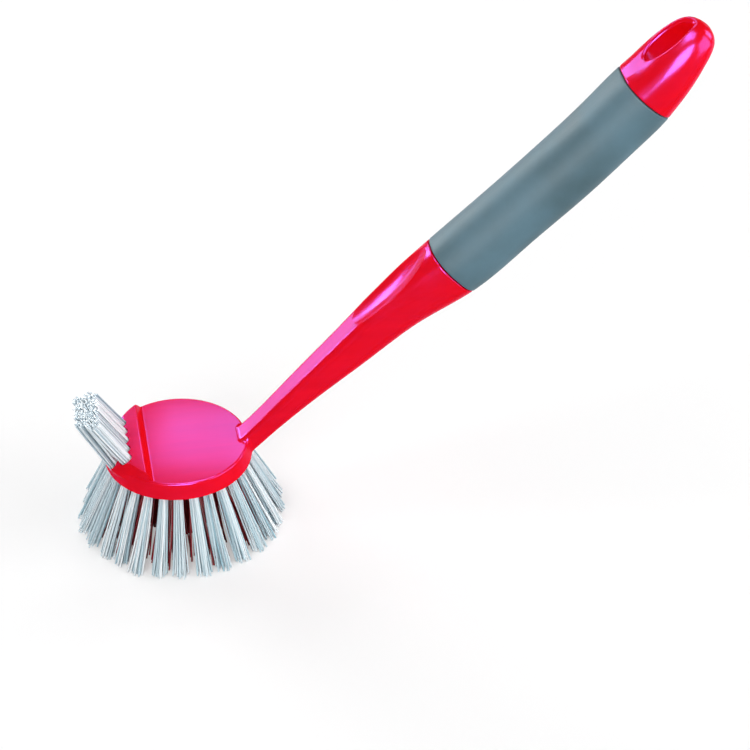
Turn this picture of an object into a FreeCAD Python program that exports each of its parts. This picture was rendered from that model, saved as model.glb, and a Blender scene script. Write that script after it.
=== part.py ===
import FreeCAD, Part
import math
import os
from FreeCAD import Placement, Rotation, Vector

# Driving dimensions, in millimetres and degrees.
# The origin is on the head's axis, in the plane of the bristle tips. +Z is up and +X runs to the handle.

# Head block
bristle_reach = 28.7
head_r = 27.4
head_flare = 1.6
head_wall = 6.0
head_dome = 4.0
head_edge_fillet = 0.9

# Raised nose at the front of the head, with a sloping face for the edge tufts
nose_rise = 3.0
nose_lip_out = 0.9
nose_lip_rise = 3.7
nose_lip_r = 22.0
nose_foot_inset = 0.4
nose_top_inset = 4.4
nose_top_r = 27.0
nose_face_run = 9.5
nose_strip_width = 5.15
nose_step_run = 2.2
nose_edge_fillet = 0.9
nose_foot_fillet = 1.2

# Handle axis: straight up from the rim of the head, then a long gentle bend
neck_root_out = 0.8
neck_root_up = 0.16
neck_rise_deg = 42.1
axis_straight = 130.5
axis_bend_r = 592.0

# Handle lengths along the axis
neck_overlap = 5.0
neck_root_fillet = 2.4
neck_length = 99.6
sleeve_length = 94.4
end_length = 31.9

# Handle sections: width across the handle and depth square to it
neck_width = 10.0
neck_depth = 7.4
grip_front_width = 22.7
grip_front_depth = 24.0
grip_rear_width = 26.3
grip_rear_depth = 22.0
tip_flat_width = 3.4
tip_flat_depth = 2.8

# Thumb rest dished into the top of the neck
dish_station = 73.6
dish_depth = 3.1
dish_length_r = 66.0
dish_width_r = 13.0

# Hanging eye through the end
eye_from_tip = 15.0
eye_length = 19.8
eye_width = 10.6
eye_lean_deg = 21.0
eye_rim_fillet = 1.1

# Soft grip sleeve moulded round the core
sleeve_wall = 2.2
sleeve_groove = 0.35
sleeve_lip_fillet = 0.5

# Scrubbing tufts under the head
tuft_r = 1.7
hole_clearance = 0.08
ring_hole_depth = 2.9
outer_count = 28
outer_edge_inset = 3.1
outer_lean_deg = 24.0
outer_tip_width = 7.2
outer_tip_depth = 5.2
middle_count = 12
middle_inset = 8.5
middle_lean_deg = 13.5
middle_tip_width = 7.4
middle_tip_depth = 6.6
inner_count = 6
inner_inset = 8.0
inner_lean_deg = 5.5
inner_tip_width = 6.6
inner_tip_depth = 6.0
centre_tip_width = 6.2

# Edge tufts on the nose, in a rear and a front row
edge_tuft_r = 2.45
edge_hole_depth = 2.2
edge_row_gap = 5.4
edge_row_inset = 1.8
edge_pitch = 5.2
edge_rear_count = 5
edge_front_count = 4
edge_reach = 15.3
edge_tip_forward = 4.6
edge_tip_row_gap = 4.3
edge_tip_pitch = 4.5
edge_tip_width = 4.5

# Steel anchors that hold each tuft's fold in its hole
anchor_height = 1.1
anchor_thickness = 0.35
anchor_lift = 0.45
anchor_clearance = 0.04

# One overrun serves all cuts, and one tolerance tells which edge is meant
overrun = 5.0
edge_pick = 0.05
lip_samples = 5

# Levels and places that follow from the sizes
rim_z = bristle_reach
face_z = rim_z + head_wall
nose_z = face_z + nose_rise
lip_z = rim_z + nose_lip_rise
dome_r = (head_r ** 2 + head_dome ** 2) / (2 * head_dome)
head_face_r = head_r - head_flare
outer_r = head_r - outer_edge_inset
middle_r = outer_r - middle_inset
inner_r = middle_r - inner_inset
lip_x = -head_r - nose_lip_out
strip_x = lip_x + nose_face_run
step_top_x = strip_x + nose_strip_width
step_foot_x = step_top_x + nose_step_run
nose_slope = math.atan2(nose_z - lip_z, nose_face_run)
sleeve_start = neck_length
sleeve_end = neck_length + sleeve_length
handle_length = sleeve_end + end_length
core_start = neck_length / 2
core_end = handle_length - end_length / 4
lip_reach = min(grip_front_width, grip_rear_depth) / 2 - sleeve_wall / 2


def solid_of(shape):
    # The one solid that a clean union or cut leaves
    return shape.removeSplitter().Solids[0]


def extruded_across(points, half):
    # Outline of (x, z) pushed to both sides of the handle's plane
    outline = Part.makePolygon([Vector(x, -half, z) for x, z in points + points[:1]])
    return Part.Face(outline).extrude(Vector(0, 2 * half, 0))


def placed(shape, point, across, along):
    # Puts a shape drawn at the origin with its X across and its Z along the given directions
    shape.Placement = Placement(point, Rotation(across, along.cross(across), along, "ZXY"))
    return shape


def oval(width, depth, point, across, along):
    # Closed oval of the given width across and depth, square to along
    half_width = width / 2
    half_depth = depth / 2
    if half_width >= half_depth:
        edge = Part.Ellipse(Vector(), half_width, half_depth).toShape()
        return Part.Wire(placed(edge, point, across, along))
    edge = Part.Ellipse(Vector(), half_depth, half_width).toShape()
    return Part.Wire(placed(edge, point, along.cross(across), along))


# Handle axis and sections
axis_start = Vector(head_r + neck_root_out, 0, face_z + neck_root_up)


def axis_at(station):
    # Point on the handle's axis, the direction along it and the direction out of its top
    rise = math.radians(neck_rise_deg)
    turn = max(0, station - axis_straight) / axis_bend_r
    run = min(station, axis_straight) + axis_bend_r * math.sin(turn)
    lift = axis_bend_r * (1 - math.cos(turn))
    ahead = Vector(math.cos(rise), 0, math.sin(rise))
    upward = Vector(-math.sin(rise), 0, math.cos(rise))
    along = ahead * math.cos(turn) + upward * math.sin(turn)
    out = upward * math.cos(turn) - ahead * math.sin(turn)
    return axis_start + ahead * run + upward * lift, along, out


# Neck: share of length, growth in width and depth, top and bottom corner shares, lift as share of neck depth
neck_shares = (
    (0.00, 0.00, 0.00, 0.50, 0.42, 0.000),
    (0.26, 0.08, 0.21, 0.42, 0.80, 0.068),
    (0.54, 0.20, 0.48, 0.42, 0.92, 0.095),
    (0.79, 0.58, 0.73, 0.66, 0.95, 0.162),
    (1.00, 1.00, 1.00, 0.90, 0.92, 0.000),
)
# Grip: share of the sleeve's length, then how far it has changed from the front to the rear size
grip_shares = (
    (0.29, 0.27, -0.20),
    (0.58, 0.55, -0.22),
    (0.84, 0.80, 0.28),
    (1.00, 0.98, 0.86),
)
# End: share of its length, then its width, its depth and its lift off the axis as shares of the rear size
end_shares = (
    (0.12, 1.000, 0.945, 0.002),
    (0.34, 0.980, 0.860, 0.014),
    (0.55, 0.920, 0.765, 0.029),
    (0.74, 0.800, 0.665, 0.032),
    (0.88, 0.640, 0.560, 0.024),
    (0.96, 0.420, 0.400, 0.014),
)
tip_lift_share = 0.010
round_corner_share = 0.93
widest_corner_share = 0.97


def mixed(first, last, share):
    return first + (last - first) * share


def handle_stations():
    # Rows of station, width, depth, the corner shares at the top and the bottom, and the lift
    rows = []
    for along, wide, deep, top, bottom, lifted in neck_shares:
        width = mixed(neck_width, grip_front_width, wide)
        depth = mixed(neck_depth, grip_front_depth, deep)
        rows.append((along * neck_length, width, depth, top, bottom, neck_depth * lifted))
    rows.insert(0, (-neck_overlap,) + rows[0][1:])
    for along, wide, deep in grip_shares:
        width = mixed(grip_front_width, grip_rear_width, wide)
        depth = mixed(grip_front_depth, grip_rear_depth, deep)
        station = sleeve_start + along * sleeve_length
        rows.append((station, width, depth, round_corner_share, round_corner_share, 0))
    for along, wide, deep, lifted in end_shares:
        width = grip_rear_width * wide
        depth = grip_rear_depth * deep
        lift = grip_rear_depth * lifted
        station = sleeve_end + along * end_length
        rows.append((station, width, depth, round_corner_share, round_corner_share, lift))
    lift = grip_rear_depth * tip_lift_share
    rows.append((handle_length, tip_flat_width, tip_flat_depth, round_corner_share, round_corner_share, lift))
    return rows


def handle_section(row, inset):
    # Rounded rectangle square to the axis: four sides and four corner arcs
    station, width, depth, top_share, bottom_share, lift = row
    axis_point, along, out = axis_at(station)
    point = axis_point + out * lift
    across = Vector(0, 1, 0)
    half_width = width / 2 - inset
    half_depth = depth / 2 - inset
    least = min(half_width, half_depth)
    top_r = least * min(top_share, widest_corner_share)
    bottom_r = least * min(bottom_share, widest_corner_share)
    corners = ((1, 1, top_r), (1, -1, bottom_r), (-1, -1, bottom_r), (-1, 1, top_r))
    slant = math.sqrt(0.5)

    def spot(y, n):
        return point + across * y + out * n

    arcs = []
    for side, level, r in corners:
        mid_y = side * (half_width - r)
        mid_n = level * (half_depth - r)
        on_side = spot(side * half_width, mid_n)
        on_level = spot(mid_y, level * half_depth)
        on_slant = spot(mid_y + side * r * slant, mid_n + level * r * slant)
        ends = (on_level, on_side) if side == level else (on_side, on_level)
        arcs.append(Part.Arc(ends[0], on_slant, ends[1]))
    edges = []
    for arc, following in zip(arcs, arcs[1:] + arcs[:1]):
        edges.append(arc.toShape())
        edges.append(Part.LineSegment(arc.EndPoint, following.StartPoint).toShape())
    return Part.Wire(edges)


def handle_loft(rows, inset):
    return Part.makeLoft([handle_section(row, inset) for row in rows], True, False)


def slab(start, end):
    # Block between two planes square to the axis, wide enough for any section of the handle
    size = 2 * (grip_rear_width + grip_front_width)
    faces = []
    for station in (start, end):
        point, along, out = axis_at(station)
        across = Vector(0, size, 0)
        out = out * size
        corners = [point + across + out, point - across + out, point - across - out, point + across - out]
        faces.append(Part.makePolygon(corners + corners[:1]))
    return Part.makeLoft(faces, True, True)


# Head block with its nose
def dome_z(r):
    # Height of the domed underside at a distance from the head's axis
    return rim_z - head_dome + dome_r - math.sqrt(dome_r ** 2 - r ** 2)


def head_block():
    # Turned block: flat top, wall that flares to the rim and a domed underside
    half_r = head_r / 2
    top = Vector(0, 0, face_z)
    edge = Vector(head_face_r, 0, face_z)
    rim = Vector(head_r, 0, rim_z)
    crown = Vector(0, 0, dome_z(0))
    sides = [Part.LineSegment(top, edge).toShape(), Part.LineSegment(edge, rim).toShape()]
    sides.append(Part.Arc(rim, Vector(half_r, 0, dome_z(half_r)), crown).toShape())
    sides.append(Part.LineSegment(crown, top).toShape())
    block = Part.Face(Part.Wire(sides)).revolve(Vector(), Vector(0, 0, 1), 360)
    top_edges = [e for e in block.Edges if e.BoundBox.ZMin > (rim_z + face_z) / 2]
    return block.makeFillet(head_edge_fillet, top_edges)


def nose():
    # Wedge with the step, the strip and the sloping face, inside a wall that leans out to the lip
    side = [(0, rim_z), (0, (rim_z + face_z) / 2), (step_foot_x, face_z), (step_top_x, nose_z)]
    side += [(strip_x, nose_z)] + slope_ends() + [(lip_x - overrun, rim_z)]
    wedge = extruded_across(side, head_r + overrun)
    wedge = wedge.makeFillet(nose_edge_fillet, [e for e in wedge.Edges if runs_across(e, nose_z)])
    foot_centre = Vector(nose_foot_inset - head_r + nose_lip_r, 0, rim_z)
    lip_centre = Vector(lip_x + nose_lip_r, 0, lip_z)
    top_centre = Vector(nose_top_inset - head_r + nose_top_r, 0, nose_z)
    rims = [Part.makeCircle(nose_lip_r, foot_centre)]
    rims.append(Part.makeCircle(nose_lip_r, lip_centre))
    rims.append(Part.makeCircle(nose_top_r, top_centre))
    wall = Part.makeLoft([Part.Wire(rim) for rim in rims], True, True)
    return wedge.common(wall)


def slope_ends():
    # Front end of the sloping face, carried past the lip
    return [(lip_x - overrun, lip_z - overrun * math.tan(nose_slope))]


def runs_across(edge, level):
    # An edge from side to side at the given height
    box = edge.BoundBox
    flat = abs(box.ZMin - level) < edge_pick and abs(box.ZMax - level) < edge_pick
    return flat and box.YLength > head_r and box.XLength < edge_pick


def above_slope():
    # All that stands above the nose's sloping face, in front of its strip
    top = nose_z + overrun
    return extruded_across([(strip_x, nose_z)] + slope_ends() + [(lip_x - overrun, top), (strip_x, top)],
                           head_r + overrun)


# Tufts, their holes and anchors
def ring_places(count, r, lean_deg):
    # Mouth, direction down to the tips and direction across, for each tuft of a ring
    lean = math.radians(lean_deg)
    places = []
    for i in range(count):
        turn = 2 * math.pi * (i + 0.5) / count
        outward = Vector(math.cos(turn), math.sin(turn), 0)
        across = Vector(-math.sin(turn), math.cos(turn), 0)
        mouth = outward * r + Vector(0, 0, dome_z(r))
        places.append((mouth, outward * math.sin(lean) - Vector(0, 0, math.cos(lean)), across))
    return places


def edge_places():
    # The same for the two rows on the nose, whose tips gather into one clump
    places = []
    tip_mid_x = lip_x - edge_tip_forward
    for row, count in enumerate((edge_rear_count, edge_front_count)):
        down_slope = edge_row_inset + row * edge_row_gap
        mouth_x = strip_x - down_slope * math.cos(nose_slope)
        mouth_z = nose_z - down_slope * math.sin(nose_slope)
        tip_x = tip_mid_x + (0.5 - row) * edge_tip_row_gap
        for i in range(count):
            place = i - (count - 1) / 2
            mouth = Vector(mouth_x, place * edge_pitch, mouth_z)
            tip = Vector(tip_x, place * edge_tip_pitch, nose_z + edge_reach)
            along = (tip - mouth).normalize()
            across = (Vector(0, 1, 0) - along * along.y).normalize()
            places.append((mouth, along, across))
    return places


def tuft(place, root_r, depth, tip_z, tip_width, tip_depth):
    # A bundle of filaments: round in its hole, flaring to a flat cut at the tips
    mouth, along, across = place
    reach = (tip_z - mouth.z) / along.z
    far = reach + overrun
    grow = far / reach
    root = mouth - along * depth
    wide = mixed(2 * root_r, tip_width, grow)
    deep = mixed(2 * root_r, tip_depth, grow)
    wires = [oval(2 * root_r, 2 * root_r, root, across, along)]
    wires.append(oval(2 * root_r, 2 * root_r, mouth, across, along))
    wires.append(oval(wide, deep, mouth + along * far, across, along))
    bundle = Part.makeLoft(wires, True, True)
    side = 2 * far
    waste = Part.makeBox(side, side, side)
    middle = mouth + along * reach
    lower = tip_z - side if along.z < 0 else tip_z
    waste.translate(Vector(middle.x - far, middle.y - far, lower))
    return bundle.cut(waste)


def tuft_hole(place, r, depth):
    # Drilled hole, with an overrun in front of its mouth
    mouth, along, across = place
    return Part.makeCylinder(r, depth + overrun, mouth - along * depth, along)


def anchor(place, r, depth, clearance):
    # Flat steel strip across the fold of a tuft, as long as the hole is wide
    mouth, along, across = place
    length = 2 * math.sqrt(r ** 2 - (anchor_thickness / 2) ** 2)
    thick = anchor_thickness + 2 * clearance
    high = anchor_height + 2 * clearance
    strip = Part.makeBox(length, thick, high, Vector(-length / 2, -thick / 2, anchor_lift - clearance))
    return placed(strip, mouth - along * depth, across, along)


def tuft_set(name, places, root_r, depth, tip_z, tip_width, tip_depth):
    # Cuts each tuft's slot and returns named tufts, the holes that they need and their anchors
    tufts = {}
    holes = []
    anchors = []
    bore_r = root_r + hole_clearance
    bore_depth = depth + hole_clearance
    for i, place in enumerate(places):
        slot = anchor(place, bore_r, depth, anchor_clearance)
        bundle = tuft(place, root_r, depth, tip_z, tip_width, tip_depth).cut(slot)
        label = name if len(places) == 1 else "%s_%02d" % (name, i + 1)
        tufts[label] = bundle
        holes.append(tuft_hole(place, bore_r, bore_depth))
        anchors.append(anchor(place, bore_r, depth, 0))
    return tufts, holes, anchors


def all_tufts():
    centre = [(Vector(0, 0, dome_z(0)), Vector(0, 0, -1), Vector(0, 1, 0))]
    rings = (
        ("outer_tuft", ring_places(outer_count, outer_r, outer_lean_deg), outer_tip_width, outer_tip_depth),
        ("middle_tuft", ring_places(middle_count, middle_r, middle_lean_deg), middle_tip_width,
         middle_tip_depth),
        ("inner_tuft", ring_places(inner_count, inner_r, inner_lean_deg), inner_tip_width, inner_tip_depth),
        ("centre_tuft", centre, centre_tip_width, centre_tip_width),
    )
    tufts = {}
    holes = []
    ring_anchors = []
    for name, places, width, depth in rings:
        named, cuts, strips = tuft_set(name, places, tuft_r, ring_hole_depth, 0, width, depth)
        tufts.update(named)
        holes += cuts
        ring_anchors += strips
    edge_top = nose_z + edge_reach
    named, cuts, edge_anchors = tuft_set(
        "edge_tuft", edge_places(), edge_tuft_r, edge_hole_depth, edge_top, edge_tip_width, edge_tip_width
    )
    tufts.update(named)
    holes += cuts
    return tufts, holes, ring_anchors, edge_anchors


# Hanging eye and thumb rest, cut from the handle
def eye_cutter():
    point, along, out = axis_at(handle_length - eye_from_tip)
    lean = math.radians(eye_lean_deg)
    through = out * math.cos(lean) + along * math.sin(lean)
    reach = grip_rear_depth + overrun
    rim = oval(eye_width, eye_length, point - through * reach, Vector(0, 1, 0), through)
    return Part.Face(rim).extrude(through * (2 * reach))


def dish_cutter():
    point, along, out = axis_at(dish_station)
    centre = point + out * (top_at(dish_station) + dish_length_r - dish_depth)
    return Part.makeTorus(dish_length_r - dish_width_r, dish_width_r, centre, Vector(0, 1, 0))


def row_top(row):
    # How far the top of a row's section is from the axis
    station, width, depth, top_share, bottom_share, lift = row
    return lift + depth / 2


def top_at(station):
    # How far the neck's top is from the axis, between two rows of its table
    rows = handle_stations()
    for before, after in zip(rows, rows[1:]):
        if before[0] <= station <= after[0]:
            share = (station - before[0]) / (after[0] - before[0])
            return mixed(row_top(before), row_top(after), share)
    return row_top(rows[-1])


def eye_rims(shape):
    # The eye's two mouths: the edges of the eye's wall that aren't straight
    point, along, out = axis_at(handle_length - eye_from_tip)
    near = eye_length + overrun
    wall = [f for f in shape.Faces if f.Surface.TypeId == "Part::GeomSurfaceOfExtrusion"]
    wall = [f for f in wall if (f.CenterOfMass - point).Length < near]
    return [e for f in wall for e in f.Edges if e.Curve.TypeId != "Part::GeomLine"]


def brush_body_and_sleeve(holes):
    rows = handle_stations()
    skin = handle_loft(rows, 0)
    skin = skin.cut(eye_cutter())
    skin = skin.makeFillet(eye_rim_fillet, eye_rims(skin))
    core = handle_loft([row for row in rows if core_start < row[0] < core_end], sleeve_wall)
    zone = slab(sleeve_start, sleeve_end)
    sleeve_zone = slab(sleeve_start + sleeve_groove, sleeve_end - sleeve_groove)
    sleeve = solid_of(skin.common(sleeve_zone).cut(core))
    sleeve_ends = (sleeve_start + sleeve_groove, sleeve_end - sleeve_groove)
    sleeve = sleeve.makeFillet(sleeve_lip_fillet, lips(sleeve, sleeve_ends))
    head = solid_of(head_block().cut(above_slope()).fuse(nose()))
    head = head.makeFillet(nose_foot_fillet, [e for e in head.Edges if runs_across(e, face_z)])
    body = solid_of(head.fuse(skin))
    body = body.makeFillet(neck_root_fillet, [e for e in body.Edges if is_root_edge(e)])
    body = body.cut(dish_cutter())
    body = solid_of(body.cut(zone).fuse(core.common(zone)))
    body = body.makeFillet(sleeve_lip_fillet, lips(body, (sleeve_start, sleeve_end)))
    body = body.cut(Part.makeCompound(holes))
    return body, sleeve


def lips(shape, stations):
    # Outer rims of the handle at the given stations, farther from the axis than the core reaches
    rims = []
    for station in stations:
        point, along, out = axis_at(station)
        for edge in [e for e in shape.Edges if e.Length > edge_pick]:
            spots = edge.discretize(lip_samples)
            level = all(abs((spot - point).dot(along)) < edge_pick for spot in spots)
            if level and min((spot - point).Length for spot in spots) > lip_reach:
                rims.append(edge)
    return rims


def is_root_edge(edge):
    # Where the neck meets the flat top of the head
    box = edge.BoundBox
    on_face = abs(box.ZMin - face_z) < edge_pick and abs(box.ZMax - face_z) < edge_pick
    return on_face and box.XMin > head_r / 2 and box.YLength < head_r / 2


tufts, holes, ring_anchors, edge_anchors = all_tufts()
body, sleeve = brush_body_and_sleeve(holes)
nodes = {
    "brush_body": solid_of(body),
    "grip_sleeve": solid_of(sleeve),
    "ring_anchors": Part.makeCompound(ring_anchors),
    "edge_anchors": Part.makeCompound(edge_anchors),
}
nodes.update(tufts)

os.makedirs("parts", exist_ok=True)
for node, shape in nodes.items():
    shape.exportStep("parts/%s.step" % node)
print(len(nodes), "nodes, body volume", round(nodes["brush_body"].Volume, 1), "mm3")
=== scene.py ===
import math
import random

import bmesh
import bpy
from bpy.props import FloatProperty, FloatVectorProperty, IntProperty, PointerProperty
from mathutils import Matrix, Vector
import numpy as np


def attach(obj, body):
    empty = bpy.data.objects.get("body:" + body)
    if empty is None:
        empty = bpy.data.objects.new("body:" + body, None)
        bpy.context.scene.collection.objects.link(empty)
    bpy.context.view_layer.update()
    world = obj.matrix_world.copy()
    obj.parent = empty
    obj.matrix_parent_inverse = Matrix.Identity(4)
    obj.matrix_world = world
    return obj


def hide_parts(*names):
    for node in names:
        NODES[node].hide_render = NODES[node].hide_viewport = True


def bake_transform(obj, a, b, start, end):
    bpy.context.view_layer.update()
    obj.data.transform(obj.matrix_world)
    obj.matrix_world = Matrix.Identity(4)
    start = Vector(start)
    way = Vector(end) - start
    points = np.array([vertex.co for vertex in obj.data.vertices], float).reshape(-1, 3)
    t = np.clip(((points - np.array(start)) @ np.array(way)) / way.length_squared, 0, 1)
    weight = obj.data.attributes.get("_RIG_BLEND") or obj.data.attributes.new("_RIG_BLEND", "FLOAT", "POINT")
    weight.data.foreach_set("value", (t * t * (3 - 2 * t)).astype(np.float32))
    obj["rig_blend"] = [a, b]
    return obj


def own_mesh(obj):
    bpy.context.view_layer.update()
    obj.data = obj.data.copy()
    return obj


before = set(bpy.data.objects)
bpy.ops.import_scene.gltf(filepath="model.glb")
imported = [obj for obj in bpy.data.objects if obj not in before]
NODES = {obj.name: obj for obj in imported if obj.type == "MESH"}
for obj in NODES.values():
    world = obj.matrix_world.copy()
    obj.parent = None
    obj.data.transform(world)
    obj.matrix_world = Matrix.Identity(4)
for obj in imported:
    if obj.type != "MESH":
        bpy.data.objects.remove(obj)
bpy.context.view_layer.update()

bl_info = {
    "name": "Dish brush",
    "version": (1, 0, 0),
    "blender": (4, 5, 0),
    "location": "View3D > Sidebar > Dish brush",
    "description": "Dresses a moulded dish brush: red body, soft grip, bristle skirt and edge clump",
    "category": "Object",
}

MM = 0.001
OUTER_NODES = sorted(n for n in NODES if n.startswith("outer_tuft"))
INNER_NODES = sorted(n for n in NODES if n.split("_")[0] in ("middle", "inner", "centre"))
EDGE_NODES = sorted(n for n in NODES if n.startswith("edge_tuft"))

# How near to the cut, and to the far end, a point of a tuft's solid lies to count as part of it
CUT_REACH = 0.05 * MM
ROOT_REACH = 0.4 * MM

# Random spread of strands: turn in radians, opening of plain and stray strands, cut and thickness
TURN_JITTER = 0.3
PLAIN_OPENING = (0.88, 1.08)
STRAY_OPENING = (1.2, 1.7)
CUT_POWER = 1.6
THICKNESS_RANGE = (0.88, 1.1)

# Tone of a strand between its two colours, and the share of strands at their brightest
TONE_MIDDLE = 0.5
TONE_SPREAD = 0.24
BRIGHT_SHARE = 0.12

# Offsets of the random seed for the red tufts and the edge clump
CORE_SEED = 50
EDGE_SEED = 100

# Red moulding: slope and stretch of its flow marks, and the half-width of the head's slight crown
FLOW_SLOPE = math.radians(42.0)
FLOW_STRETCH = 0.12
CROWN_REACH = 26.0 * MM

# Stage: width of the camera's sensor in millimetres, and the point that the lamps face
SENSOR_WIDTH = 36.0
LAMP_AIM = Vector((0.05, 0.0, 0.06))

# Lamps: name, place, width and height, brightness, whether it lights and whether it shows in the gloss
LAMPS = (
    ("back_softbox", (0.34, 1.1, 0.93), (0.66, 0.36), 4.7, True, True),
    ("scoop_softbox", (-0.64, 0.82, 0.5), (0.8, 0.36), 5.5, True, True),
    ("neck_softbox", (-0.64, 0.95, 0.17), (0.3, 0.3), 4.4, True, True),
    ("front_softbox", (-0.6, -1.2, 0.7), (0.9, 0.6), 5.5, True, False),
    ("right_softbox", (1.25, -0.55, 0.5), (1.2, 0.9), 3.7, True, True),
    ("tip_softbox", (1.45, 0.5, 0.5), (0.4, 0.5), 6.0, True, True),
    ("top_softbox", (-0.15, -0.05, 1.1), (0.6, 0.4), 3.2, True, True),
    ("scoop_card", (-0.75, 0.78, 0.48), (0.5, 0.3), 10.5, False, True),
    ("root_card", (-0.22, 1.05, 0.62), (0.3, 0.26), 7.0, False, True),
    ("streak_card", (-0.06, -1.3, 0.86), (1.0, 0.86), 16.0, False, True),
    ("rim_card", (0.0, -0.1, 1.4), (0.9, 0.7), 7.0, False, True),
)


def linear(hex_colour):
    # sRGB hex to the linear colour that the shaders take
    parts = [int(hex_colour[i:i + 2], 16) / 255 for i in (0, 2, 4)]
    return tuple(c / 12.92 if c <= 0.04045 else ((c + 0.055) / 1.055) ** 2.4 for c in parts) + (1.0,)


def neutral(level):
    # Neutral colour of a linear level
    return (level, level, level, 1.0)


def colour(name, description, hex_colour):
    # Colour property with its default written as sRGB hex
    return FloatVectorProperty(name=name, description=description, default=linear(hex_colour), size=4,
                               min=0.0, max=1.0, subtype="COLOR")


# Sizes and colours that a user would change
class BrushFinish(bpy.types.PropertyGroup):
    body_red: colour("Body red", "Moulded polypropylene", "F70B12")
    body_deep: colour("Body deep red", "Flow marks in the moulding", "E6080E")
    gloss_tint: colour("Gloss tint", "Tint of the red's reflections", "5044A1")
    grip_grey: colour("Grip grey", "Soft-touch elastomer", "48656F")
    grip_pale: colour("Grip pale grey", "Rubbed patches of the elastomer", "567988")
    strand_grey: colour("Strand grey", "Filaments in the skirt at their darkest", "9EC4D1")
    strand_white: colour("Strand white", "Filaments in the skirt at their brightest", "F6FCFF")
    clump_grey: colour("Clump grey", "Filaments in the edge clump at their darkest", "B2C8D4")
    strand_red: colour("Strand red", "Filaments inside the skirt", "C80F2C")
    strand_dark: colour("Strand dark red", "Filaments inside the skirt at their darkest", "860719")
    steel: colour("Anchor steel", "Plated steel strip", "B9BBBD")


# Strands are drawn fewer and about twice as thick as real ones, so that they show
class BristleSizes(bpy.types.PropertyGroup):
    outer_count: IntProperty(name="Outer strands", description="Strands in a skirt tuft", default=26, min=8)
    inner_count: IntProperty(name="Inner strands", description="Strands in a red tuft", default=52, min=8)
    edge_count: IntProperty(name="Edge strands", description="Strands in an edge tuft", default=36, min=8)
    stray_count: IntProperty(name="Strays", description="Strands that stand out of a skirt tuft",
                             default=3, min=0)
    thickness: FloatProperty(name="Strand", description="Thickness of a scrubbing strand",
                             default=0.6 * MM, unit="LENGTH")
    edge_thickness: FloatProperty(name="Edge strand", description="Thickness of an edge strand",
                                  default=0.66 * MM, unit="LENGTH")
    sides: IntProperty(name="Sides", description="Sides of one strand", default=6, min=4, max=10)
    cuts: IntProperty(name="Cuts", description="Rings between the ends of one strand",
                      default=5, min=2, max=12)
    seed: IntProperty(name="Seed", description="Start of the random spread", default=7)


class StageSizes(bpy.types.PropertyGroup):
    lens: FloatProperty(name="Lens", description="Focal length in millimetres", default=124.8)
    camera_at: FloatVectorProperty(name="Camera", description="Camera position", subtype="TRANSLATION",
                                   unit="LENGTH", default=(-0.0563, -0.7566, 0.6361))
    look_at: FloatVectorProperty(name="Target", description="Point that the camera looks at",
                                 subtype="TRANSLATION", unit="LENGTH", default=(0.07432, 0.0, 0.05554))
    floor_half: FloatProperty(name="Floor", description="Half the width of the floor", default=4.0,
                              unit="LENGTH")
    room_level: FloatProperty(name="Room", description="Level of the even light all round", default=0.2)
    gloss_level: FloatProperty(name="Room in gloss", description="Level of the room in reflections",
                               default=0.05)


def add_node(tree, kind, inputs=(), links=(), **settings):
    # One node with its settings, its socket values and what feeds it: a socket, or a node's first output
    node = tree.nodes.new(kind)
    for name, value in settings.items():
        setattr(node, name, value)
    for socket, value in dict(inputs).items():
        node.inputs[socket].default_value = value
    for socket, source in dict(links).items():
        feed = source.outputs[0] if isinstance(source, bpy.types.Node) else source
        tree.links.new(feed, node.inputs[socket])
    return node


def new_material(name):
    # Empty node material
    material = bpy.data.materials.new(name)
    material.use_nodes = True
    material.node_tree.nodes.clear()
    return material, material.node_tree


def set_surface(tree, shader):
    # Ends a material with its shader
    add_node(tree, "ShaderNodeOutputMaterial", links={"Surface": shader})


def pitch(size):
    # Scale of a pattern whose marks are this many millimetres apart
    return 1.0 / (size * MM)


def noise_range(low, high):
    # Settings that spread the middle of a noise pattern over a range
    return {"From Min": 0.3, "From Max": 0.7, "To Min": low, "To Max": high}


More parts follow.
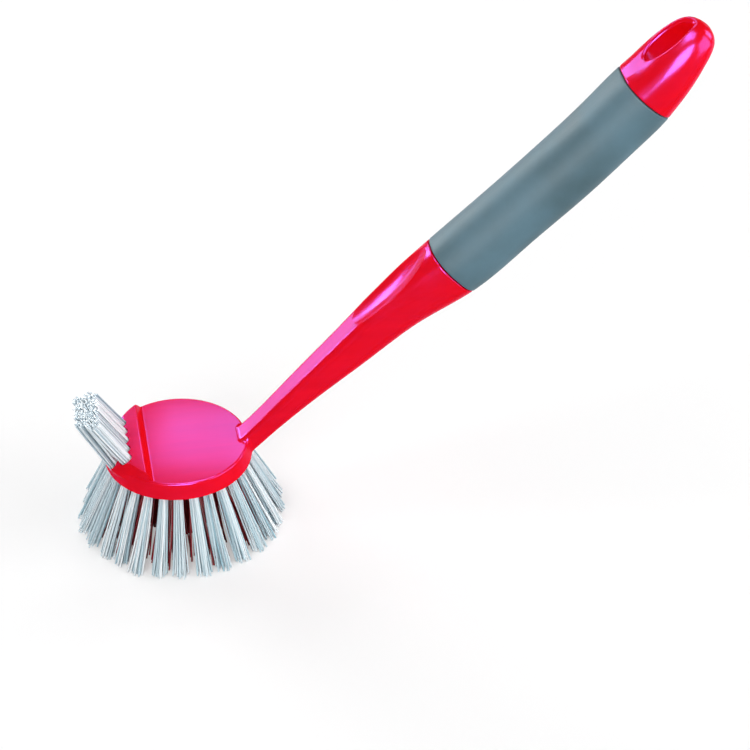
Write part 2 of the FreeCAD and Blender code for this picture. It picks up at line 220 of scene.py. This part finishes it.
def red_polypropylene(finish):
    # Polypropylene from a polished tool: deep red, clear gloss, faint flow marks along the handle,
    # a slight crown on the head and shallow sink marks
    material, tree = new_material("moulded_polypropylene_red")
    place = add_node(tree, "ShaderNodeTexCoord").outputs["Object"]
    slope = {"Rotation": (0.0, FLOW_SLOPE, 0.0), "Scale": (FLOW_STRETCH, 1.0, 1.0)}
    along = add_node(tree, "ShaderNodeMapping", slope, {"Vector": place})
    flow = add_node(tree, "ShaderNodeTexNoise", {"Scale": pitch(4.0), "Detail": 3.0}, {"Vector": along})
    marks = add_node(tree, "ShaderNodeMapRange", noise_range(0.0, 0.5), {"Value": flow})
    red = add_node(tree, "ShaderNodeMix", {"A": finish.body_red, "B": finish.body_deep}, {"Factor": marks},
                   data_type="RGBA")
    cloud = add_node(tree, "ShaderNodeTexNoise", {"Scale": pitch(16.0), "Detail": 2.0}, {"Vector": place})
    polish = add_node(tree, "ShaderNodeMapRange", noise_range(0.16, 0.21), {"Value": cloud})
    sink = add_node(tree, "ShaderNodeTexNoise", {"Scale": pitch(45.0), "Detail": 0.0}, {"Vector": place})
    level = add_node(tree, "ShaderNodeMapping", {"Scale": (1.0, 1.0, 0.0)}, {"Vector": place})
    out = add_node(tree, "ShaderNodeVectorMath", links={0: level}, operation="LENGTH")
    share = add_node(tree, "ShaderNodeMapRange", {"From Max": CROWN_REACH}, {"Value": out.outputs["Value"]})
    fall = add_node(tree, "ShaderNodeMath", links={0: share, 1: share}, operation="MULTIPLY")
    crown = add_node(tree, "ShaderNodeBump", {"Strength": 1.0, "Distance": 0.85 * MM}, {"Height": fall},
                     invert=True)
    bump = add_node(tree, "ShaderNodeBump", {"Strength": 1.0, "Distance": 0.25 * MM},
                    {"Height": sink, "Normal": crown})
    shader = add_node(tree, "ShaderNodeBsdfPrincipled",
                      {"IOR": 3.5, "Specular IOR Level": 0.5, "Specular Tint": finish.gloss_tint},
                      {"Base Color": red.outputs["Result"], "Roughness": polish, "Normal": bump})
    set_surface(tree, shader)
    return material


def grey_elastomer(finish):
    # Soft-touch elastomer moulded over the core: a dull blue-grey with faintly rubbed patches and a
    # velvet grain, drawn coarser than the real one so that it shows
    material, tree = new_material("soft_touch_elastomer_grey")
    place = add_node(tree, "ShaderNodeTexCoord").outputs["Object"]
    grain = add_node(tree, "ShaderNodeTexNoise", {"Scale": pitch(0.55), "Detail": 2.0}, {"Vector": place})
    cloud = add_node(tree, "ShaderNodeTexNoise", {"Scale": pitch(22.0), "Detail": 4.0}, {"Vector": place})
    rubbed = add_node(tree, "ShaderNodeMapRange", noise_range(0.0, 1.0), {"Value": cloud})
    blue_grey = add_node(tree, "ShaderNodeMix", {"A": finish.grip_grey, "B": finish.grip_pale},
                         {"Factor": rubbed}, data_type="RGBA")
    dull = add_node(tree, "ShaderNodeMapRange", noise_range(0.5, 0.62), {"Value": cloud})
    bump = add_node(tree, "ShaderNodeBump", {"Strength": 0.3, "Distance": 0.1 * MM}, {"Height": grain})
    shader = add_node(tree, "ShaderNodeBsdfPrincipled",
                      {"IOR": 1.45, "Sheen Weight": 0.1, "Sheen Roughness": 0.5},
                      {"Base Color": blue_grey.outputs["Result"], "Roughness": dull, "Normal": bump})
    set_surface(tree, shader)
    return material


def drawn_strand(name, dark, bright):
    # Drawn monofilament: each strand its own tone, with a silky grain, drawn coarser than the real one
    material, tree = new_material(name)
    tone = add_node(tree, "ShaderNodeAttribute", attribute_name="strand_tone").outputs["Fac"]
    toned = add_node(tree, "ShaderNodeMix", {"A": dark, "B": bright}, {"Factor": tone}, data_type="RGBA")
    place = add_node(tree, "ShaderNodeTexCoord").outputs["Object"]
    grain = add_node(tree, "ShaderNodeTexNoise", {"Scale": pitch(1.4), "Detail": 2.0}, {"Vector": place})
    silk = add_node(tree, "ShaderNodeMapRange", noise_range(0.3, 0.42), {"Value": grain})
    bump = add_node(tree, "ShaderNodeBump", {"Strength": 0.15, "Distance": 0.05 * MM}, {"Height": grain})
    shader = add_node(tree, "ShaderNodeBsdfPrincipled", {"IOR": 1.49},
                      {"Base Color": toned.outputs["Result"], "Roughness": silk, "Normal": bump})
    set_surface(tree, shader)
    return material


def plated_steel(finish):
    # Tin-plated steel strip, rolled and cut: pale grey metal with a rolled grain, drawn coarser than it is
    material, tree = new_material("plated_steel_strip")
    place = add_node(tree, "ShaderNodeTexCoord").outputs["Object"]
    grain = add_node(tree, "ShaderNodeTexNoise", {"Scale": pitch(1.1), "Detail": 2.0}, {"Vector": place})
    rolled = add_node(tree, "ShaderNodeMapRange", noise_range(0.28, 0.45), {"Value": grain})
    shader = add_node(tree, "ShaderNodeBsdfPrincipled", {"Base Color": finish.steel, "Metallic": 1.0},
                      {"Roughness": rolled})
    set_surface(tree, shader)
    return material


def dress(node, material):
    # Gives a CAD node its finish
    slots = NODES[node].data.materials
    slots.clear()
    slots.append(material)


# Tufts as bundles of strands
class Tuft:
    # Where a CAD tuft starts and ends, its directions and the half-sizes of its cut tip
    def __init__(self, node, tips_up):
        self.up = 1 if tips_up else -1
        points = [v.co.copy() for v in NODES[node].data.vertices]
        level = max(p.z for p in points) if tips_up else min(p.z for p in points)
        cut = [p for p in points if abs(p.z - level) < CUT_REACH]
        low = Vector(min(p[i] for p in cut) for i in range(3))
        high = Vector(max(p[i] for p in cut) for i in range(3))
        self.tip = (low + high) / 2
        longest = max((p - self.tip).length for p in points)
        end = [p for p in points if (p - self.tip).length > longest - ROOT_REACH]
        self.root = sum(end, Vector()) / len(end)
        self.along = (self.tip - self.root).normalized()
        round_axis = Vector((-self.tip.y, self.tip.x, 0))
        in_ring = not tips_up and round_axis.length > MM
        self.across = round_axis.normalized() if in_ring else Vector((0, 1, 0))
        self.deep = self.along.cross(self.across).normalized()
        self.flat = self.across.cross(Vector((0, 0, -self.up))).normalized()
        self.half_width = max(abs((p - self.tip).dot(self.across)) for p in cut)
        self.half_depth = max(abs((p - self.tip).dot(self.flat)) for p in cut)
        self.root_r = max(((p - self.root).cross(self.along)).length for p in end)


class Spread:
    # How the strands of a tuft spread: fan and deep_fan scale the cut across and along its lean, quick is
    # how early they open, sway, ragged and bow are random lengths, splay moves the cut outwards
    def __init__(self, count, thickness, fan, deep_fan, quick, sway, ragged, bow, strays=0, splay=0.0):
        self.count = count
        self.thickness = thickness
        self.fan = fan
        self.deep_fan = deep_fan
        self.quick = quick
        self.sway = sway
        self.ragged = ragged
        self.bow = bow
        self.strays = strays
        self.splay = splay


def bundle(node, tuft, spread, sizes, seed):
    # Bundle of strands that fan out from the hole to the cut, each bowed a little its own way
    rng = random.Random(seed)
    golden = math.pi * (3 - math.sqrt(5))
    bm = bmesh.new()
    layers = bm.verts.layers.float
    tone_layer = layers.new("strand_tone")
    run_layer = layers.new("strand_run")
    number_layer = bm.verts.layers.int.new("strand_number")
    outward = Vector((tuft.tip.x, tuft.tip.y, 0)).normalized()
    lean = tuft.across * rng.gauss(0, spread.sway) + outward * (spread.splay + rng.gauss(0, spread.sway))
    paths = []
    for number in range(spread.count + spread.strays):
        reach = math.sqrt((number % spread.count + 0.5) / spread.count)
        turn = golden * number + rng.uniform(-TURN_JITTER, TURN_JITTER)
        u = reach * math.cos(turn)
        v = reach * math.sin(turn)
        open_up = rng.uniform(*(PLAIN_OPENING if number < spread.count else STRAY_OPENING))
        start = tuft.root + (tuft.across * u + tuft.deep * v) * (tuft.root_r - spread.thickness / 2)
        side_step = tuft.across * (u * tuft.half_width * spread.fan * open_up)
        side_step += tuft.flat * (v * tuft.half_depth * spread.deep_fan * open_up)
        stop = tuft.tip + lean + side_step
        stop.z -= tuft.up * spread.ragged * rng.random() ** CUT_POWER
        bow = tuft.across * rng.gauss(0, spread.bow) + tuft.deep * rng.gauss(0, spread.bow)
        drift = (stop - tuft.tip) - (start - tuft.root)
        paths.append((bow, drift))
        tone = 1.0
        if rng.random() >= BRIGHT_SHARE:
            tone = min(1.0, max(0.0, rng.gauss(TONE_MIDDLE, TONE_SPREAD)))
        along = stop - start
        turned = along.to_track_quat("Z", "Y").to_matrix().to_4x4()
        place = Matrix.Translation((start + stop) / 2) @ turned
        radius = spread.thickness / 2 * rng.uniform(*THICKNESS_RANGE)
        made = bmesh.ops.create_cone(bm, cap_ends=True, segments=sizes.sides, radius1=radius, radius2=radius,
                                     depth=along.length, matrix=place)
        for vert in made["verts"]:
            vert[tone_layer] = tone
            vert[run_layer] = 1.0 if (vert.co - start).dot(along) > along.length_squared / 2 else 0.0
            vert[number_layer] = number
    for edge in bm.edges:
        edge.smooth = edge.verts[0][run_layer] != edge.verts[1][run_layer]
    bmesh.ops.subdivide_edges(bm, edges=[e for e in bm.edges if e.smooth], cuts=sizes.cuts)
    for vert in bm.verts:
        share = vert[run_layer]
        bow, drift = paths[vert[number_layer]]
        early = 1 - (1 - share) ** spread.quick
        vert.co += bow * math.sin(math.pi * share) + drift * (early - share)
    for face in bm.faces:
        face.smooth = True
    return add_piece(node + "_strands", bm)


def add_piece(name, bm):
    # Object at the origin from a finished mesh
    mesh = bpy.data.meshes.new(name)
    bm.to_mesh(mesh)
    bm.free()
    piece = bpy.data.objects.new(name, mesh)
    bpy.context.scene.collection.objects.link(piece)
    return piece


def press_tuft(piece, node):
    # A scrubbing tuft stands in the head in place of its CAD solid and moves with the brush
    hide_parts(node)
    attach(piece, "brush")
    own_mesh(piece)


class DISHBRUSH_OT_body(bpy.types.Operator):
    """Finishes the red moulding: head, neck, thumb rest and end with its eye"""
    bl_idname = "dishbrush.body"
    bl_label = "Red body"

    def execute(self, context):
        dress("brush_body", red_polypropylene(context.scene.dish_finish))
        return {"FINISHED"}


class DISHBRUSH_OT_grip(bpy.types.Operator):
    """Finishes the soft sleeve round the handle"""
    bl_idname = "dishbrush.grip"
    bl_label = "Soft grip"

    def execute(self, context):
        dress("grip_sleeve", grey_elastomer(context.scene.dish_finish))
        return {"FINISHED"}


class DISHBRUSH_OT_anchors(bpy.types.Operator):
    """Finishes the steel strips that hold the tufts"""
    bl_idname = "dishbrush.anchors"
    bl_label = "Anchors"

    def execute(self, context):
        steel = plated_steel(context.scene.dish_finish)
        for node in ("ring_anchors", "edge_anchors"):
            dress(node, steel)
        return {"FINISHED"}


class DISHBRUSH_OT_skirt(bpy.types.Operator):
    """Makes the grey tufts of the skirt"""
    bl_idname = "dishbrush.skirt"
    bl_label = "Skirt"

    def execute(self, context):
        finish = context.scene.dish_finish
        sizes = context.scene.dish_bristles
        grey = drawn_strand("drawn_filament_grey", finish.strand_grey, finish.strand_white)
        spread = Spread(sizes.outer_count, sizes.thickness, fan=0.88, deep_fan=1.0, quick=0.85,
                        sway=0.45 * MM, ragged=1.1 * MM, bow=0.25 * MM, strays=sizes.stray_count)
        for i, node in enumerate(OUTER_NODES):
            piece = bundle(node, Tuft(node, False), spread, sizes, sizes.seed + i)
            piece.data.materials.append(grey)
            press_tuft(piece, node)
        return {"FINISHED"}


class DISHBRUSH_OT_core(bpy.types.Operator):
    """Makes the red tufts inside the skirt"""
    bl_idname = "dishbrush.core"
    bl_label = "Red tufts"

    def execute(self, context):
        finish = context.scene.dish_finish
        sizes = context.scene.dish_bristles
        red = drawn_strand("drawn_filament_red", finish.strand_dark, finish.strand_red)
        wide = Spread(sizes.inner_count, sizes.thickness, fan=2.1, deep_fan=1.7, quick=1.2,
                      sway=0.5 * MM, ragged=1.0 * MM, bow=0.3 * MM, splay=6.5 * MM)
        plain = Spread(sizes.inner_count, sizes.thickness, fan=1.3, deep_fan=1.3, quick=1.2,
                       sway=0.4 * MM, ragged=1.0 * MM, bow=0.3 * MM)
        for i, node in enumerate(INNER_NODES):
            spread = wide if node.startswith("middle") else plain
            piece = bundle(node, Tuft(node, False), spread, sizes, sizes.seed + CORE_SEED + i)
            piece.data.materials.append(red)
            press_tuft(piece, node)
        return {"FINISHED"}


class DISHBRUSH_OT_edge(bpy.types.Operator):
    """Makes the pale clump of edge tufts on the nose"""
    bl_idname = "dishbrush.edge"
    bl_label = "Edge clump"

    def execute(self, context):
        finish = context.scene.dish_finish
        sizes = context.scene.dish_bristles
        pale = drawn_strand("drawn_filament_pale", finish.clump_grey, finish.strand_white)
        spread = Spread(sizes.edge_count, sizes.edge_thickness, fan=1.06, deep_fan=1.06, quick=1.5,
                        sway=0.08 * MM, ragged=0.45 * MM, bow=0.08 * MM)
        for i, node in enumerate(EDGE_NODES):
            tuft = Tuft(node, True)
            piece = bundle(node, tuft, spread, sizes, sizes.seed + EDGE_SEED + i)
            piece.data.materials.append(pale)
            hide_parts(node)
            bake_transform(piece, "brush", "edge_bristles", start=tuft.root.lerp(tuft.tip, 0.12),
                     end=tuft.root.lerp(tuft.tip, 0.6))
        return {"FINISHED"}


def white_paper():
    # Matt white paper that keeps the object's shadow and is dark in the gloss in front of the brush
    material, tree = new_material("matt_white_paper")
    path = add_node(tree, "ShaderNodeLightPath").outputs
    seen = add_node(tree, "ShaderNodeMix", {"A": neutral(0.8), "B": neutral(0.6)},
                    {"Factor": path["Is Camera Ray"]}, data_type="RGBA")
    place = add_node(tree, "ShaderNodeTexCoord").outputs["Object"]
    depth = add_node(tree, "ShaderNodeSeparateXYZ", links={0: place}).outputs["Y"]
    behind = add_node(tree, "ShaderNodeMapRange", {"From Min": -0.02, "From Max": 0.06}, {"Value": depth})
    far = add_node(tree, "ShaderNodeMix", {"A": neutral(0.04), "B": neutral(0.7)}, {"Factor": behind},
                   data_type="RGBA")
    quiet = add_node(tree, "ShaderNodeMix", links={"A": seen.outputs["Result"], "B": far.outputs["Result"],
                                                   "Factor": path["Is Glossy Ray"]}, data_type="RGBA")
    paper = add_node(tree, "ShaderNodeBsdfDiffuse", links={"Color": quiet.outputs["Result"]})
    glow = add_node(tree, "ShaderNodeEmission", {"Color": neutral(0.4)}, {"Strength": path["Is Camera Ray"]})
    set_surface(tree, add_node(tree, "ShaderNodeAddShader", links={0: paper, 1: glow}))
    return material


def softbox(name, place, size, radiance, lights, shines):
    # Area lamp that faces the brush, with its power worked out from its brightness
    data = bpy.data.lights.new(name, "AREA")
    data.shape = "RECTANGLE"
    data.size, data.size_y = size
    data.energy = radiance * math.pi * size[0] * size[1]
    lamp = bpy.data.objects.new(name, data)
    lamp.location = place
    lamp.rotation_euler = (LAMP_AIM - Vector(place)).to_track_quat("-Z", "Y").to_euler()
    lamp.visible_diffuse = lights
    lamp.visible_glossy = shines
    bpy.context.scene.collection.objects.link(lamp)


def room(sizes):
    # Even light all round, white to the camera and quieter in reflections
    world = bpy.data.worlds.new("studio")
    world.use_nodes = True
    tree = world.node_tree
    tree.nodes.clear()
    path = add_node(tree, "ShaderNodeLightPath").outputs
    white = neutral(1.0)
    even = add_node(tree, "ShaderNodeBackground", {"Color": white, "Strength": sizes.room_level})
    gloss = add_node(tree, "ShaderNodeBackground", {"Color": white, "Strength": sizes.gloss_level})
    plain = add_node(tree, "ShaderNodeBackground", {"Color": white, "Strength": 1.0})
    lit = add_node(tree, "ShaderNodeMixShader", links={0: path["Is Glossy Ray"], 1: even, 2: gloss})
    seen = add_node(tree, "ShaderNodeMixShader", links={0: path["Is Camera Ray"], 1: lit, 2: plain})
    add_node(tree, "ShaderNodeOutputWorld", links={"Surface": seen})
    return world


class DISHBRUSH_OT_stage(bpy.types.Operator):
    """Makes the floor, the soft lights and the camera"""
    bl_idname = "dishbrush.stage"
    bl_label = "Stage"

    def execute(self, context):
        scene = context.scene
        sizes = scene.dish_stage
        bm = bmesh.new()
        bmesh.ops.create_grid(bm, x_segments=1, y_segments=1, size=sizes.floor_half)
        floor = add_piece("floor", bm)
        floor.data.materials.append(white_paper())
        for lamp in LAMPS:
            softbox(*lamp)
        scene.world = room(sizes)
        scene.view_settings.view_transform = "Standard"
        lens = bpy.data.cameras.new("camera")
        lens.sensor_width = SENSOR_WIDTH
        lens.lens = sizes.lens
        camera = bpy.data.objects.new("camera", lens)
        camera.location = sizes.camera_at
        view = Vector(sizes.look_at) - Vector(sizes.camera_at)
        camera.rotation_euler = view.to_track_quat("-Z", "Y").to_euler()
        scene.collection.objects.link(camera)
        scene.camera = camera
        return {"FINISHED"}


class DISHBRUSH_PT_panel(bpy.types.Panel):
    """Lists the steps that dress the brush and the values that they use"""
    bl_idname = "DISHBRUSH_PT_panel"
    bl_label = "Dish brush"
    bl_space_type = "VIEW_3D"
    bl_region_type = "UI"
    bl_category = "Dish brush"

    def draw(self, context):
        for step in STEPS:
            self.layout.operator(step.bl_idname)
        scene = context.scene
        for group in (scene.dish_finish, scene.dish_bristles, scene.dish_stage):
            for name in group.__annotations__:
                self.layout.prop(group, name)


GROUPS = (BrushFinish, BristleSizes, StageSizes)
STEPS = (DISHBRUSH_OT_body, DISHBRUSH_OT_grip, DISHBRUSH_OT_anchors, DISHBRUSH_OT_skirt, DISHBRUSH_OT_core,
         DISHBRUSH_OT_edge, DISHBRUSH_OT_stage)


def register():
    for group in GROUPS + STEPS + (DISHBRUSH_PT_panel,):
        bpy.utils.register_class(group)
    bpy.types.Scene.dish_finish = PointerProperty(type=BrushFinish)
    bpy.types.Scene.dish_bristles = PointerProperty(type=BristleSizes)
    bpy.types.Scene.dish_stage = PointerProperty(type=StageSizes)


def unregister():
    del bpy.types.Scene.dish_finish
    del bpy.types.Scene.dish_bristles
    del bpy.types.Scene.dish_stage
    for group in reversed(GROUPS + STEPS + (DISHBRUSH_PT_panel,)):
        bpy.utils.unregister_class(group)


def main():
    register()
    bpy.ops.dishbrush.body()
    bpy.ops.dishbrush.grip()
    bpy.ops.dishbrush.anchors()
    bpy.ops.dishbrush.skirt()
    bpy.ops.dishbrush.core()
    bpy.ops.dishbrush.edge()
    bpy.ops.dishbrush.stage()


if __name__ == "__main__":
    main()
